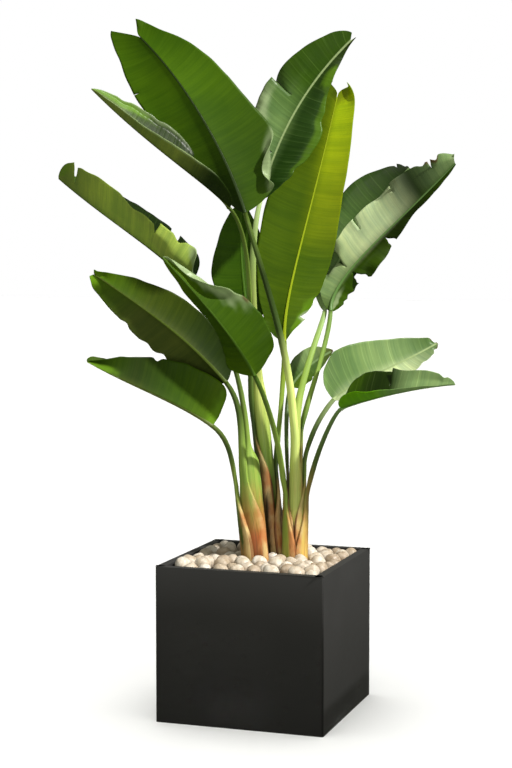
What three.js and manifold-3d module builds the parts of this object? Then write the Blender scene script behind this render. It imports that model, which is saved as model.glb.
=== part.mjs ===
// A potted bird of paradise: a square planter filled with soil and topped with pebbles,
// and three clumps of leaves whose sheathing stalks rise out of it.
// Millimetres, +Z up, origin at the middle of the planter's underside.
import * as THREE from 'three';
import { mergeVertices } from 'three/addons/utils/BufferGeometryUtils.js';
import Module from 'manifold-3d';

const wasm = await Module();
wasm.setup();

// ---------- driving dimensions ----------
const GAP = 0.3;
const OVERSHOOT = 1;
const WELD = 1e-4;

const POT_WIDTH = 450;
const POT_HEIGHT = 405;
const POT_WALL = 22;
const POT_FLOOR = 20;
const POT_CORNER = 5;
const CORNER_STEPS = 3;
const INSIDE = POT_WIDTH - 2 * POT_WALL;

const SOIL_TOP = 368;
const SOCKET_FLOOR = 300;
const SOCKET_SIDES = 24;
const BED_SOCKET_CLEARANCE = 1;
const BED_THICKNESS = 11;
const BED_TOP = SOIL_TOP + GAP + BED_THICKNESS;

const PEBBLE_COUNT = 72;
const LOOSE_PEBBLES = 27;
const PEBBLE_RADIUS = [19.5, 25.5];
const PEBBLE_DEPTH = 0.84;
const PEBBLE_HEIGHT = 0.68;
const PEBBLE_SINK = 4;
const PEBBLE_CLEARANCE = 0.8;
const WALL_CLEARANCE = 1;
const CLUMP_CLEARANCE = 2;
const SETTLING_PASSES = 300;
// Steps that never fall into a pattern, so that sizes and places spread evenly.
const SIZE_STRIDE = 0.618034;
const X_STRIDE = 0.754878;
const Y_STRIDE = 0.569840;

// The plant is laid out in a frame turned about Z: x to the right, y to the back, z up.
const PLANT_TURN = THREE.MathUtils.degToRad(18.7);

const BLADE_EDGE = 1.2;
const RIB_AT_BASE = 9;
const RIB_AT_TIP = 2.5;
const FULL_RIB_WIDTH = 20;
const BLADE_COLUMNS = [-1, -0.55, -0.14, 0, 0.14, 0.55, 1];
const BLADE_STEPS = 12;
const BLADE_SWEEP = 0.15;
const HEEL_WIDTH = 100;
const NARROWEST = 3;
const END_SHARPNESS = 8;
const NORMAL_STEP = 0.1;
const REACH_STEPS = 6;

const ARC_STEPS = 8;
// Degrees between the end of a section's outer arc and the start of its inner one.
const MARGIN_ANGLE = 10;
const TAPER_STEPS = 4;
const TAPER_LENGTH = 160;
const PETIOLE_STEPS = 7;
const ROUNDING_LENGTH = 90;
const SHEATH_CLEARANCE = 2;
const STALK_SETBACK = 1;
const PETIOLE_TOP = 6;
const PETIOLE_CHANNEL = 0.45;

// ---------- the clumps ----------
// foot: where the clump's axis meets height 0; lean: sideways run for each mm of height;
// core: radius of the innermost stalk; ring: how much each stalk around it adds to the radius.
const CLUMPS = {
  left: { foot: [22, 14], lean: [-0.1, 0], core: 26, ring: 6 },
  middle: { foot: [66, 92], lean: [-0.1, 0], core: 20, ring: 5 },
  right: { foot: [70, 40], lean: [0.015, 0.01], core: 11, ring: 4 },
};

// ---------- the leaves ----------
// Listed clump by clump, from the innermost stalk to the outermost.
// stalk: facing = direction it leaves its clump, 0 right, 90 back; wrap = how far its sheath
// reaches round to each side; leaves = height where it parts from the clump; rise and turn =
// how far it keeps the clump's and then the blade's direction; girth = its half width.
// rib: the four control points of the blade's midrib, from its base to its tip.
// left and right, seen from the front along the rib: half widths from base to tip, the angle
// between the half and the front plane beside the rib (near) and at its edge (edge), each at
// the base and at the tip, and how far the edge runs on past the rib's base and tip (ends).
// keel: 1 where the front shows the upper face, -1 where it shows the underside. The underside
// is always the outer side of the fold.
const LEAVES = [
  {
    name: 'middle_left', clump: 'left', keel: 1,
    stalk: { facing: 210, wrap: 90, leaves: 650, rise: 100, turn: 230, girth: 11 },
    rib: [[-200, 0, 1125], [-276, 10, 1211], [-424, 50, 1294], [-550, 90, 1403]],
    left: { widths: [0, 90, 92, 113, 122, 84, 8], near: [-120, -115], edge: [-145, -135], ends: [5, 0] },
    right: { widths: [0, 85, 110, 112, 98, 60, 4], near: [50, 55], edge: [40, 50], ends: [5, 0] },
  },
  {
    name: 'lower_left', clump: 'left', keel: -1,
    stalk: { facing: 235, wrap: 100, leaves: 620, rise: 90, turn: 80, girth: 12 },
    rib: [[-105, -30, 870], [-195, -40, 980], [-300, -70, 1055], [-435, -120, 1150]],
    left: { widths: [0, 40, 70, 80, 60, 35, 10], near: [35, 25], edge: [5, 10], ends: [10, 10] },
    right: { widths: [0, 50, 80, 85, 60, 25, 10], near: [35, 25], edge: [5, 10], ends: [15, 10] },
  },
  {
    name: 'bottom_left', clump: 'left', keel: -1,
    stalk: { facing: 185, wrap: 70, leaves: 590, rise: 60, turn: 60, girth: 10 },
    rib: [[-140, -70, 760], [-230, -90, 825], [-345, -120, 865], [-455, -150, 931]],
    left: { widths: [0, 55, 95, 104, 88, 52, 8], near: [100, 100], edge: [120, 115], ends: [20, 0] },
    right: { widths: [0, 100, 110, 95, 60, 20, 0], near: [25, 20], edge: [0, 20], ends: [35, 0] },
  },
  {
    name: 'top_centre', clump: 'middle', keel: 1,
    stalk: { facing: 80, wrap: 90, leaves: 800, rise: 160, turn: 160, girth: 14 },
    rib: [[-15, 40, 1345], [10, 80, 1440], [60, 110, 1610], [225, 120, 1770]],
    left: { widths: [0, 40, 75, 108, 92, 54, 12], near: [-20, -15], edge: [-10, 0], ends: [10, 14] },
    right: { widths: [0, 30, 75, 100, 50, 14, 4], near: [-30, -25], edge: [-20, -30], ends: [5, 15] },
  },
  {
    name: 'upper_left', clump: 'middle', keel: 1,
    stalk: { facing: 190, wrap: 110, leaves: 740, rise: 200, turn: 120, girth: 10 },
    rib: [[-94, -130, 1322], [-160, -160, 1389], [-298, -190, 1474], [-435, -190, 1612]],
    left: { widths: [0, 45, 76, 66, 42, 20, 0], near: [-105, -105], edge: [-130, -130], ends: [5, 0] },
    right: { widths: [0, 20, 40, 82, 66, 30, 0], near: [42, 38], edge: [52, 45], ends: [5, 0] },
  },
  {
    name: 'tall_centre', clump: 'middle', keel: -1,
    stalk: { facing: 25, wrap: 100, leaves: 620, rise: 50, turn: 80, girth: 10 },
    rib: [[50, 110, 970], [45, 125, 1085], [105, 160, 1245], [192, 190, 1625]],
    left: { widths: [0, 40, 80, 115, 115, 80, 34], near: [15, 10], edge: [-5, -10], ends: [5, 35] },
    right: { widths: [0, 20, 70, 93, 79, 58, 36], near: [30, 20], edge: [0, -10], ends: [5, 40] },
  },
  {
    name: 'centre_rear', clump: 'middle', keel: -1,
    stalk: { facing: 110, wrap: 100, leaves: 640, rise: 120, turn: 120, girth: 10 },
    rib: [[-45, 120, 1010], [-55, 140, 1080], [-75, 175, 1205], [-65, 200, 1340]],
    left: { widths: [0, 35, 65, 85, 60, 30, 0], near: [10, 10], edge: [0, 0], ends: [5, 0] },
    right: { widths: [0, 35, 55, 65, 55, 25, 0], near: [10, 10], edge: [0, 0], ends: [5, 0] },
  },
  {
    name: 'upper_right_rear', clump: 'right', keel: 1,
    stalk: { facing: 90, wrap: 90, leaves: 760, rise: 100, turn: 30, girth: 10 },
    rib: [[160, 165, 1050], [165, 230, 1150], [230, 260, 1260], [395, 250, 1440]],
    left: { widths: [0, 20, 50, 75, 95, 50, 0], near: [20, 15], edge: [10, 0], ends: [5, 0] },
    right: { widths: [0, 20, 50, 65, 60, 35, 0], near: [-10, -10], edge: [-5, 0], ends: [5, 0] },
  },
  {
    name: 'upper_right', clump: 'right', keel: -1,
    stalk: { facing: 30, wrap: 110, leaves: 730, rise: 60, turn: 90, girth: 10 },
    rib: [[175, 150, 1050], [180, 190, 1150], [335, 180, 1260], [505, 120, 1445]],
    left: { widths: [0, 25, 70, 90, 90, 58, 22], near: [25, 15], edge: [0, 0], ends: [5, 12] },
    right: { widths: [0, 35, 60, 54, 26, 12, 3], near: [45, 35], edge: [30, 30], ends: [5, 0] },
  },
  {
    name: 'top_left', clump: 'right', keel: -1,
    stalk: { facing: 245, wrap: 110, leaves: 700, rise: 200, turn: 260, girth: 12 },
    rib: [[-55, -50, 1310], [-95, -55, 1445], [-200, -20, 1640], [-330, 60, 1770]],
    left: { widths: [0, 30, 80, 110, 118, 78, 42], near: [30, 20], edge: [0, 0], ends: [10, 75] },
    right: { widths: [0, 95, 146, 125, 98, 48, 28], near: [20, 10], edge: [5, -5], ends: [5, 40] },
  },
  {
    name: 'small_rear', clump: 'right', keel: 1,
    stalk: { facing: 165, wrap: 110, leaves: 600, rise: 60, turn: 50, girth: 7 },
    rib: [[70, 190, 840], [85, 195, 870], [115, 200, 905], [185, 215, 940]],
    left: { widths: [0, 15, 35, 45, 40, 15, 0], near: [-15, -10], edge: [0, 0], ends: [5, 0] },
    right: { widths: [0, 20, 30, 35, 25, 10, 0], near: [-15, -10], edge: [0, 0], ends: [5, 0] },
  },
  {
    name: 'middle_right', clump: 'right', keel: 1,
    stalk: { facing: 20, wrap: 110, leaves: 640, rise: 60, turn: 60, girth: 9 },
    rib: [[180, 40, 820], [220, 40, 865], [330, 70, 895], [462, 120, 965]],
    left: { widths: [0, 60, 102, 92, 62, 30, 12], near: [15, 10], edge: [0, 0], ends: [15, 0] },
    right: { widths: [0, 30, 50, 50, 50, 25, 0], near: [-50, -50], edge: [-55, -50], ends: [5, 0] },
  },
  {
    name: 'bottom_right', clump: 'right', keel: 1,
    stalk: { facing: 335, wrap: 75, leaves: 545, rise: 80, turn: 30, girth: 10 },
    rib: [[195, -60, 805], [245, -90, 825], [365, -140, 865], [475, -180, 875]],
    left: { widths: [0, 75, 95, 80, 55, 25, 0], near: [45, 50], edge: [50, 60], ends: [0, 0] },
    right: { widths: [0, 45, 70, 36, 10, 5, 0], near: [-110, -115], edge: [-135, -130], ends: [5, 0] },
  },
  {
    name: 'front_left', clump: 'right', keel: -1,
    stalk: { facing: 200, wrap: 70, leaves: 560, rise: 70, turn: 120, girth: 11 },
    rib: [[-30, -120, 895], [-70, -140, 975], [-130, -170, 1055], [-260, -200, 1195]],
    left: { widths: [0, 90, 70, 40, 36, 15, 0], near: [60, 55], edge: [50, 50], ends: [20, 0] },
    right: { widths: [0, 70, 95, 94, 62, 30, 0], near: [15, 35], edge: [0, 20], ends: [10, 0] },
  },
];

// ---------- finishes ----------
function finish(color, roughness) {
  return () => new THREE.MeshStandardMaterial({ color, roughness, metalness: 0 });
}

const planterFinish = finish(0x2f2f2e, 0.7);
const soilFinish = finish(0x3a2a1e, 0.95);
const pebbleFinish = finish(0xd9c8b0, 0.6);
const bladeFinish = finish(0x4c7a22, 0.45);
const stalkFinish = finish(0x9bb65c, 0.5);

// ---------- solids ----------
function toSolid(geometry) {
  geometry.deleteAttribute('normal');
  geometry.deleteAttribute('uv');
  const merged = mergeVertices(geometry, WELD);
  const vertProperties = Float32Array.from(merged.attributes.position.array);
  const triVerts = Uint32Array.from(merged.index.array);
  return new wasm.Manifold(new wasm.Mesh({ numProp: 3, vertProperties, triVerts }));
}

function toGeometry(solid) {
  const { vertProperties, triVerts } = solid.getMesh();
  const geometry = new THREE.BufferGeometry();
  geometry.setAttribute('position', new THREE.BufferAttribute(vertProperties, 3));
  geometry.setIndex(new THREE.BufferAttribute(triVerts, 1));
  return geometry;
}

// A closed skin over a row of loops that all have the same number of points.
function loft(loops) {
  const count = loops[0].length;
  const positions = loops.flat().flatMap((point) => point.toArray());
  const index = [];
  for (let row = 0; row < loops.length - 1; row++) {
    for (let i = 0; i < count; i++) {
      const a = row * count + i;
      const b = row * count + (i + 1) % count;
      index.push(a, b, b + count, a, b + count, a + count);
    }
  }
  const last = (loops.length - 1) * count;
  // Each loop runs out along its outer arc and back along its inner one, so its ends are
  // closed by strips between the two arcs.
  for (let i = 0; i < count / 2 - 1; i++) {
    const j = count - 1 - i;
    index.push(i, j, i + 1, i + 1, j, j - 1);
    index.push(last + i, last + i + 1, last + j, last + i + 1, last + j - 1, last + j);
  }
  const geometry = new THREE.BufferGeometry();
  geometry.setAttribute('position', new THREE.Float32BufferAttribute(positions, 3));
  geometry.setIndex(index);
  return geometry;
}

// ---------- planter ----------
function roundedSquare(width, corner) {
  const half = width / 2;
  const shape = new THREE.Shape();
  shape.moveTo(-half + corner, -half);
  shape.absarc(half - corner, -half + corner, corner, -Math.PI / 2, 0);
  shape.absarc(half - corner, half - corner, corner, 0, Math.PI / 2);
  shape.absarc(-half + corner, half - corner, corner, Math.PI / 2, Math.PI);
  shape.absarc(-half + corner, -half + corner, corner, Math.PI, 1.5 * Math.PI);
  return shape;
}

function block(width, corner, bottom, top) {
  const geometry = new THREE.ExtrudeGeometry(roundedSquare(width, corner), {
    depth: top - bottom, bevelEnabled: false, curveSegments: CORNER_STEPS,
  });
  return geometry.translate(0, 0, bottom);
}

function planter() {
  const outside = toSolid(block(POT_WIDTH, POT_CORNER, 0, POT_HEIGHT));
  const inside = toSolid(block(INSIDE, POT_CORNER, POT_FLOOR, POT_HEIGHT + OVERSHOOT));
  return toGeometry(outside.subtract(inside));
}

// ---------- clumps ----------
function clumpAxis(clump, height) {
  const { foot, lean } = CLUMPS[clump];
  return new THREE.Vector3(foot[0] + lean[0] * height, foot[1] + lean[1] * height, height);
}

const direction = (degrees) => {
  const angle = THREE.MathUtils.degToRad(degrees);
  return new THREE.Vector2(Math.cos(angle), Math.sin(angle));
};

// The circles that bound each stalk's sheath, measured from the clump's axis: every stalk
// thickens the clump on the side it faces, so each circle touches the one inside it.
function sheathCircles() {
  const outermost = {};
  for (const leaf of LEAVES) {
    const { core, ring } = CLUMPS[leaf.clump];
    const inner = outermost[leaf.clump];
    if (!inner) {
      leaf.outer = { centre: new THREE.Vector2(), radius: core };
    } else {
      leaf.inner = inner;
      const centre = direction(leaf.stalk.facing).multiplyScalar(ring).add(inner.centre);
      leaf.outer = { centre, radius: inner.radius + ring };
    }
    outermost[leaf.clump] = leaf.outer;
  }
  return outermost;
}

const OUTERMOST = sheathCircles();

function clumpPlug(clump, clearance, bottom, top) {
  const { centre, radius } = OUTERMOST[clump];
  const reach = (radius + clearance) / Math.cos(Math.PI / SOCKET_SIDES);
  const plug = new THREE.CylinderGeometry(reach, reach, top - bottom, SOCKET_SIDES);
  plug.rotateX(Math.PI / 2).translate(centre.x, centre.y, (bottom + top) / 2);
  const { foot, lean } = CLUMPS[clump];
  const slant = new THREE.Matrix4().set(
    1, 0, lean[0], foot[0],
    0, 1, lean[1], foot[1],
    0, 0, 1, 0,
    0, 0, 0, 1,
  );
  return toSolid(plug.applyMatrix4(slant).rotateZ(PLANT_TURN));
}

// ---------- soil and pebbles ----------
function soil() {
  let solid = toSolid(block(INSIDE - 2 * GAP, POT_CORNER, POT_FLOOR + GAP, SOIL_TOP));
  for (const clump of Object.keys(CLUMPS)) {
    solid = solid.subtract(clumpPlug(clump, GAP, SOCKET_FLOOR, SOIL_TOP + OVERSHOOT));
  }
  return toGeometry(solid);
}

// An even spread of numbers between 0 and 1 for pebble i.
const scatter = (i, stride) => (0.5 + i * stride) % 1;

function clumpDiscs() {
  return Object.keys(CLUMPS).map((clump) => {
    const axis = clumpAxis(clump, BED_TOP).applyAxisAngle(new THREE.Vector3(0, 0, 1), PLANT_TURN);
    const { centre, radius } = OUTERMOST[clump];
    const shift = centre.clone().rotateAround(new THREE.Vector2(), PLANT_TURN);
    return { x: axis.x + shift.x, y: axis.y + shift.y, radius: radius + CLUMP_CLEARANCE, fixed: true };
  });
}

// Pebbles start evenly scattered over the bed and push each other apart until none overlap.
function pebbleDiscs() {
  const [small, large] = PEBBLE_RADIUS;
  const side = INSIDE / 2 - WALL_CLEARANCE;
  const stones = [];
  for (let i = 0; i < PEBBLE_COUNT; i++) {
    const radius = small + (large - small) * scatter(i, SIZE_STRIDE);
    const x = (scatter(i, X_STRIDE) - 0.5) * 2 * side;
    const y = (scatter(i, Y_STRIDE) - 0.5) * 2 * side;
    stones.push({ x, y, radius });
  }
  const discs = [...clumpDiscs(), ...stones];
  for (let pass = 0; pass < SETTLING_PASSES; pass++) {
    for (const a of stones) {
      for (const b of discs) {
        if (a === b) continue;
        const apart = Math.hypot(a.x - b.x, a.y - b.y);
        const push = a.radius + b.radius + PEBBLE_CLEARANCE - apart;
        if (push <= 0) continue;
        const share = b.fixed ? 1 : 0.5;
        const [dx, dy] = [(a.x - b.x) / apart * push, (a.y - b.y) / apart * push];
        a.x += dx * share;
        a.y += dy * share;
        if (!b.fixed) {
          b.x -= dx * share;
          b.y -= dy * share;
        }
      }
    }
    for (const stone of stones) {
      const limit = side - stone.radius;
      stone.x = THREE.MathUtils.clamp(stone.x, -limit, limit);
      stone.y = THREE.MathUtils.clamp(stone.y, -limit, limit);
    }
  }
  return stones;
}

function pebble({ x, y, radius }, i, sink) {
  const stone = new THREE.DodecahedronGeometry(radius);
  stone.scale(1, PEBBLE_DEPTH, PEBBLE_HEIGHT).rotateZ(i).computeBoundingBox();
  return stone.translate(x, y, BED_TOP - sink - stone.boundingBox.min.z);
}

const frontFirst = (a, b) => a.y - b.y;

function pebbleBed(stones) {
  let bed = toSolid(block(INSIDE - 2 * GAP, POT_CORNER, SOIL_TOP + GAP, BED_TOP));
  stones.forEach((stone, i) => {
    if (i >= LOOSE_PEBBLES) bed = bed.add(toSolid(pebble(stone, i, PEBBLE_SINK)));
  });
  const [below, above] = [SOIL_TOP - OVERSHOOT, POT_HEIGHT + OVERSHOOT];
  for (const clump of Object.keys(CLUMPS)) {
    bed = bed.subtract(clumpPlug(clump, BED_SOCKET_CLEARANCE, below, above));
  }
  return toGeometry(bed);
}

// ---------- stalks ----------
function arc(circle, from, to, clearance) {
  const points = [];
  for (let i = 0; i <= ARC_STEPS; i++) {
    const degrees = THREE.MathUtils.lerp(from, to, i / ARC_STEPS);
    points.push(direction(degrees).multiplyScalar(circle.radius + clearance).add(circle.centre));
  }
  return points;
}

// Sheath section around the clump's axis: a crescent between this stalk's circle and the one
// inside it, or the whole circle for the innermost stalk.
function sheathSection({ inner, outer, stalk: { facing } }, wrap) {
  const outside = arc(outer, facing - wrap, facing + wrap, -GAP / 2);
  const inside = inner
    ? arc(inner, facing + wrap, facing - wrap, SHEATH_CLEARANCE - GAP / 2)
    : arc(outer, facing + wrap + MARGIN_ANGLE, facing - wrap + 360 - MARGIN_ANGLE, -GAP / 2);
  return [...outside, ...inside];
}

// Petiole section with its points in the same order: round outside, a shallow channel inside.
function petioleSection(facing, girth) {
  const round = { centre: new THREE.Vector2(), radius: girth };
  const out = direction(facing);
  const reach = 90 - MARGIN_ANGLE / 2;
  const inside = arc(round, facing + 180 - reach, facing + 180 + reach, 0);
  for (const p of inside) p.addScaledVector(out, -p.dot(out) * (1 - PETIOLE_CHANNEL));
  return [...arc(round, facing - reach, facing + reach, 0), ...inside];
}

// The sheath's margins draw apart below the height where the stalk leaves its clump.
function sheathLoops(leaf) {
  const { clump, inner, outer, stalk: { wrap, leaves, girth } } = leaf;
  const narrow = inner ? THREE.MathUtils.radToDeg(Math.asin(girth / outer.radius)) : wrap;
  const levels = [{ height: SOCKET_FLOOR + GAP, reach: wrap }];
  for (let i = 0; i <= TAPER_STEPS; i++) {
    const height = leaves - TAPER_LENGTH * (1 - i / TAPER_STEPS);
    levels.push({ height, reach: THREE.MathUtils.lerp(wrap, narrow, i / TAPER_STEPS) });
  }
  return levels.map(({ height, reach }) => {
    const axis = clumpAxis(clump, height);
    const section = sheathSection(leaf, reach);
    return section.map((p) => new THREE.Vector3(axis.x + p.x, axis.y + p.y, height));
  });
}

function stalkRoute({ clump, inner, outer, rib, stalk: { facing, leaves, rise, turn } }) {
  const out = direction(facing);
  const middle = inner ? inner.centre.dot(out) + outer.radius : 0;
  const start = clumpAxis(clump, leaves).add(new THREE.Vector3(...out, 0).multiplyScalar(middle));
  const upward = clumpAxis(clump, 1).sub(clumpAxis(clump, 0)).normalize();
  const [base, arch] = rib.map((point) => new THREE.Vector3(...point));
  const onward = arch.clone().sub(base).normalize();
  const top = base.clone().addScaledVector(onward, -STALK_SETBACK);
  const rising = start.clone().addScaledVector(upward, rise);
  const turning = top.clone().addScaledVector(onward, -turn);
  return new THREE.CubicBezierCurve3(start, rising, turning, top);
}

// The petiole's sections follow its route, and round off from the sheath's opening, which is
// turned back to face along X before it is carried up the route.
function stalk(leaf) {
  const { facing, girth } = leaf.stalk;
  const turnBack = new THREE.Matrix4().makeRotationZ(-THREE.MathUtils.degToRad(facing));
  const route = stalkRoute(leaf);
  const length = route.getLength();
  const loops = sheathLoops(leaf);
  const opening = loops.at(-1).map((p) => p.clone().sub(route.v0).applyMatrix4(turnBack));
  const out = new THREE.Vector3(...direction(facing), 0);
  for (let i = 1; i <= PETIOLE_STEPS; i++) {
    const t = i / PETIOLE_STEPS;
    const along = route.getTangent(t);
    const faceOut = out.clone().addScaledVector(along, -out.dot(along)).normalize();
    const across = faceOut.clone().cross(along);
    const turned = new THREE.Matrix4().makeBasis(faceOut, across.negate(), along);
    const rounding = THREE.MathUtils.smoothstep(t * length, 0, ROUNDING_LENGTH);
    const round = petioleSection(0, THREE.MathUtils.lerp(girth, PETIOLE_TOP, t));
    loops.push(round.map((p, k) => {
      const point = opening[k].clone().lerp(new THREE.Vector3(p.x, p.y, 0), rounding);
      return point.applyMatrix4(turned).add(route.getPoint(t));
    }));
  }
  return loft(loops);
}

// ---------- blades ----------
const halfWidth = ({ widths }, along) => {
  const outline = new THREE.SplineCurve(widths.map((width, i) => new THREE.Vector2(i, width)));
  return Math.max(outline.getPoint(along).y, NARROWEST);
};

// Where the half blade has got to, for each mm of its width, after the fraction `across` of it:
// its angle to the front plane changes evenly from the rib to the edge.
function halfReach({ near, edge }, s, across) {
  const from = THREE.MathUtils.degToRad(THREE.MathUtils.lerp(...near, s));
  const to = THREE.MathUtils.degToRad(THREE.MathUtils.lerp(...edge, s));
  const reach = new THREE.Vector2();
  for (let i = 0; i < REACH_STEPS; i++) {
    const angle = THREE.MathUtils.lerp(from, to, across * (i + 0.5) / REACH_STEPS);
    reach.x += Math.cos(angle) * across / REACH_STEPS;
    reach.y += Math.sin(angle) * across / REACH_STEPS;
  }
  return reach;
}

// A point of the blade's front face: along runs from 0 at the base to 1 at the tip, and across
// from -1 at the left edge to 1 at the right one.
function bladePoint({ left, right }, rib, along, across) {
  const s = (1 - Math.cos(Math.PI * along)) / 2;
  const growth = rib.getTangent(s);
  const toLeft = new THREE.Vector3(-growth.z, 0, growth.x).normalize();
  const toBack = new THREE.Vector3(0, 1, 0).addScaledVector(growth, -growth.y).normalize();
  const half = across < 0 ? left : right;
  const sign = across < 0 ? 1 : -1;
  const out = Math.abs(across);
  const width = halfWidth(half, along);
  const reach = halfReach(half, s, out);
  const pastBase = half.ends[0] * (1 - s) ** END_SHARPNESS * width / HEEL_WIDTH;
  const pastTip = half.ends[1] * s ** END_SHARPNESS;
  return rib.getPoint(s)
    .addScaledVector(toLeft, sign * width * reach.x)
    .addScaledVector(toBack, width * reach.y)
    .addScaledVector(growth, BLADE_SWEEP * width * out ** 2 + (pastTip - pastBase) * out);
}

// The direction in which the blade's underside lies from that point.
function towardsUnderside(leaf, rib, along, across) {
  const s = (1 - Math.cos(Math.PI * along)) / 2;
  const before = bladePoint(leaf, rib, along, Math.max(across - NORMAL_STEP, -1));
  const after = bladePoint(leaf, rib, along, Math.min(across + NORMAL_STEP, 1));
  return rib.getTangent(s).cross(after.sub(before)).normalize().multiplyScalar(leaf.keel);
}

// The midrib stands out less where the blade is narrow, at its base and tip.
function ribDepth({ left, right }, along) {
  const width = (halfWidth(left, along) + halfWidth(right, along)) / 2;
  const full = THREE.MathUtils.lerp(RIB_AT_BASE, RIB_AT_TIP, along);
  return Math.max(full * Math.min(1, width / FULL_RIB_WIDTH), BLADE_EDGE);
}

function blade(leaf) {
  const rib = new THREE.CubicBezierCurve3(...leaf.rib.map((point) => new THREE.Vector3(...point)));
  const columns = BLADE_COLUMNS.length - 1;
  const geometry = new THREE.BoxGeometry(columns, 1, 1, columns, BLADE_STEPS, 1);
  const place = geometry.attributes.position;
  for (let i = 0; i < place.count; i++) {
    const along = place.getY(i) + 0.5;
    const across = BLADE_COLUMNS[Math.round(place.getX(i) + columns / 2)];
    const point = bladePoint(leaf, rib, along, across);
    if (place.getZ(i) < 0) {
      const depth = across === 0 ? ribDepth(leaf, along) : BLADE_EDGE;
      point.addScaledVector(towardsUnderside(leaf, rib, along, across), depth);
    }
    place.setXYZ(i, ...point);
  }
  if (leaf.keel < 0) geometry.index.array.reverse();
  return geometry;
}

// ---------- assembly ----------
const root = new THREE.Group();

function addPart(parent, name, geometry, material) {
  const mesh = new THREE.Mesh(geometry, material);
  mesh.name = name;
  parent.add(mesh);
}

const stones = pebbleDiscs().sort(frontFirst);
addPart(root, 'planter', planter(), planterFinish());
addPart(root, 'soil', soil(), soilFinish());
addPart(root, 'pebble_bed', pebbleBed(stones), pebbleFinish());
stones.slice(0, LOOSE_PEBBLES).forEach((stone, i) => {
  const name = `pebble_${String(i + 1).padStart(2, '0')}`;
  addPart(root, name, pebble(stone, i, -GAP), pebbleFinish());
});

const plant = new THREE.Group();
plant.rotation.z = PLANT_TURN;
for (const leaf of LEAVES) {
  addPart(plant, `stalk_${leaf.name}`, stalk(leaf), stalkFinish());
  addPart(plant, `blade_${leaf.name}`, blade(leaf), bladeFinish());
}
root.add(plant);

export default root;
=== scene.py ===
"""A potted bird of paradise: a square planter filled with soil and topped with pebbles, and three
clumps of leaves whose sheathing stalks rise out of it.

Sizes are in millimetres until a piece is finished, and the plant is laid out in a frame of its
own, turned about Z from the planter's: x to the right, y to the back, z up.
"""
import math
import random

import bmesh
import bpy
from mathutils import Matrix, Vector, noise


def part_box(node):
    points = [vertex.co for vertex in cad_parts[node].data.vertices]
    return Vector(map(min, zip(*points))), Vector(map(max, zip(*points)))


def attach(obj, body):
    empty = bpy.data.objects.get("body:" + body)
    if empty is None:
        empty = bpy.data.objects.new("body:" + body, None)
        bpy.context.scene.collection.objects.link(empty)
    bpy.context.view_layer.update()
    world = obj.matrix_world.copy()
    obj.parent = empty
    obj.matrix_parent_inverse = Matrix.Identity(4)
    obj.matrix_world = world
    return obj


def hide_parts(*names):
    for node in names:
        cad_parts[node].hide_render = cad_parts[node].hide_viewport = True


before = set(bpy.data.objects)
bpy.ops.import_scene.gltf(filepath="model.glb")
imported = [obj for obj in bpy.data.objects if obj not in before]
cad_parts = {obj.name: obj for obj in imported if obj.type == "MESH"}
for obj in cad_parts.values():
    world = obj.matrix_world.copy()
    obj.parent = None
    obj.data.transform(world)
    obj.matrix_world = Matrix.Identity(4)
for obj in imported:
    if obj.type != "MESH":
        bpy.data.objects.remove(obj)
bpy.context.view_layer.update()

MM = 0.001
PLANT_TURN = math.radians(18.7)
GAP = 0.3

POT_WALL = 22
POT_FLOOR = 20
POT_CORNER = 5
POT_EDGE = 1.2
CORNER_STEPS = 5
EDGE_STEPS = 3
SOIL_TOP = 368
BED_TOP = 379.3

PEBBLE_COUNT = 72
LOOSE_PEBBLES = 27
PEBBLE_RADIUS = (19.5, 25.5)
# Half a pebble's length, depth and height, for each mm of its place's radius.
PEBBLE_SHAPE = (0.94, 0.84, 0.84)
PEBBLE_SINK = 4
PEBBLE_SEATING = 0.97
PEBBLE_DETAIL = 4
PEBBLE_CLEARANCE = 0.8
WALL_CLEARANCE = 1
CLUMP_CLEARANCE = 2
SETTLING_PASSES = 300
# Steps that never fall into a pattern, so that sizes and places spread evenly.
SIZE_STRIDE = 0.618034
X_STRIDE = 0.754878
Y_STRIDE = 0.569840
# The steps from stone to stone through the noise that makes them lumpy.
LUMP_STRIDES = (7.31, 3.17, 5.77)
# How close together a stone's lumps are, and how high.
LARGE_LUMPS = (1.1, 0.14)
SMALL_LUMPS = (3, 0.03)
STONE_TILT = 0.18
TILT_STRIDE = 2.3
FILLER_COUNT = 160
FILLER_RADIUS = (8, 12)
FILLER_SHAPE = (1, 0.9, 0.7)
FILLER_RISE = (2, 8)
FILLER_DETAIL = 2
FILLER_SEED = 4

BLADE_ROWS = 110
BLADE_COLUMNS = 40
BLADE_THICKNESS = 1.0
BLADE_SWEEP = 0.15
END_SHARPNESS = 8
HEEL_WIDTH = 100
NARROWEST = 3
REACH_STEPS = 12
TEAR_REACH = 0.07
TEAR_UNEVENNESS = 0.35
# How many waves there are across a torn edge, and how each tear differs.
TEAR_WAVES, TEAR_STRIDE = 5, 40
FOLD_ROUNDNESS = 0.45
SMALLEST_FOLD = 0.5
RAGGEDNESS = 0.035
RAGGED_PER_BLADE = 14
# The lengths of the waves along a blade, their length across it, and their heights.
LONG_WAVE, SHORT_WAVE, FINE_WAVE, WAVE_WIDTH = 70, 26, 9, 60
LONG_HEIGHT, SHORT_HEIGHT, FINE_HEIGHT = 1.6, 0.8, 0.35
STILL_ENDS = 0.2
# These make each leaf, and each half of it, ripple in its own way.
LEAF_STRIDE, HALF_STRIDE = 0.37, 5
MARK_EDGE = 1.35
MARK_FADE = 0.7
MARK_UNEVENNESS = 0.25
# How many waves a mark's edge has along and across the blade, and how each differs.
MARK_WAVES_ALONG, MARK_WAVES_ACROSS, MARK_STRIDE = 25, 6, 10
BLEND_WIDTH = 0.3
VEIN_PITCH = 0.013
LIGHT_THROUGH = 0.36
ON_ROW = 1e-4

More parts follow.
